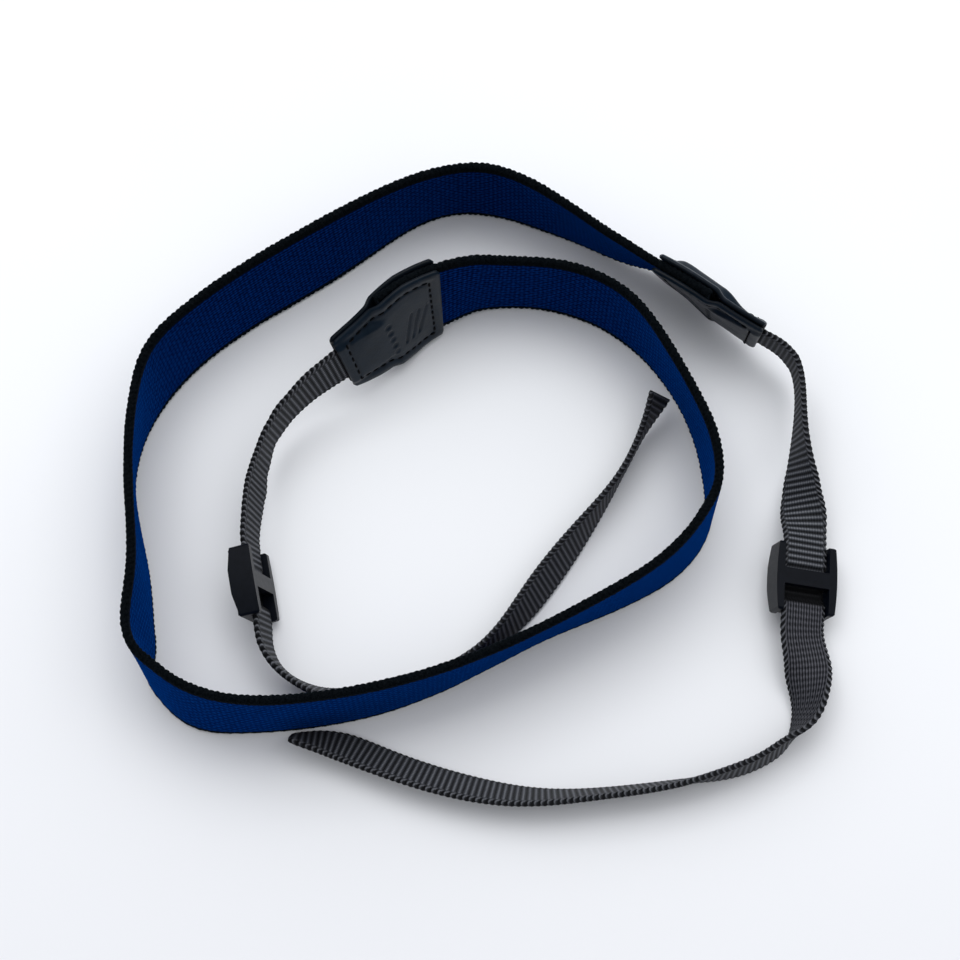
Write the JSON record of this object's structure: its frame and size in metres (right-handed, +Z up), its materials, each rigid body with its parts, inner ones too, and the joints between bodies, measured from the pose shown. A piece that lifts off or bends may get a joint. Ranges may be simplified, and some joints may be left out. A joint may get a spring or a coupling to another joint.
{
  "type": "camera neck strap",
  "caption": "Coiled camera neck strap: wide woven band, stitched leather end patches, narrow webbing ends through tri-glide buckles.",
  "frame": {"origin": "middle of the coiled strap's footprint, on the table", "axes": "+Z up from the table, +X to the right and +Y away from the viewer, as the coil lies"},
  "size_m": [0.155, 0.142, 0.0269],
  "materials": {
    "band_webbing": "woven, blue with black edges",
    "patch_leather": "smooth, softly sheened",
    "narrow_webbing": "ribbed weave, dark grey",
    "thread": "twisted thread, black",
    "buckle_plastic": "moulded, satin black"
  },
  "bodies": {
    "neck": {"neck_webbing": "band_webbing", "left_patch_front": "patch_leather", "left_patch_back": "patch_leather", "left_webbing_root": "narrow_webbing", "left_patch_stitching": "thread", "left_box_stitch": "thread", "right_patch_front": "patch_leather", "right_patch_back": "patch_leather", "right_webbing_root": "narrow_webbing", "right_patch_stitching": "thread", "right_box_stitch": "thread"},
    "left_strap": {"left_webbing_upper": "narrow_webbing"},
    "left_tail": {"left_webbing_tail": "narrow_webbing"},
    "left_buckle_body": {"left_buckle": "buckle_plastic"},
    "right_strap": {"right_webbing_upper": "narrow_webbing"},
    "right_tail": {"right_webbing_tail": "narrow_webbing"},
    "right_buckle_body": {"right_buckle": "buckle_plastic"}
  },
  "joints": [
    {"name": "left_strap_swing", "type": "hinge", "parent": "neck", "child": "left_strap", "pos_m": [-0.02974, 0.02594, 0.0135], "axis": [-0.2487, 0.2206, 0.9431], "range_deg": [-12, 0]},
    {"name": "left_buckle_slide", "type": "slide", "parent": "left_strap", "child": "left_buckle_body", "axis": [0.1917, -0.9789, -0.0705], "range_m": [-0.003, 0.003]},
    {"name": "left_tail_swing", "type": "hinge", "parent": "left_strap", "child": "left_tail", "pos_m": [0.00315, -0.03474, 0.00505], "axis": [-0.0524, 0.0519, 0.9973], "range_deg": [0, 40]},
    {"name": "right_strap_swing", "type": "hinge", "parent": "neck", "child": "right_strap", "pos_m": [0.06277, 0.03324, 0.01186], "axis": [-0.0229, -0.2011, 0.9793], "range_deg": [0, 22]},
    {"name": "right_buckle_slide", "type": "slide", "parent": "right_strap", "child": "right_buckle_body", "axis": [0.0813, 0.9963, 0.0289], "range_m": [-0.003, 0.003]},
    {"name": "right_tail_swing", "type": "hinge", "parent": "right_strap", "child": "right_tail", "pos_m": [0.05443, -0.06239, 0.00504], "axis": [-0.0162, 0.0344, 0.9993], "range_deg": [0, 30]}
  ]
}
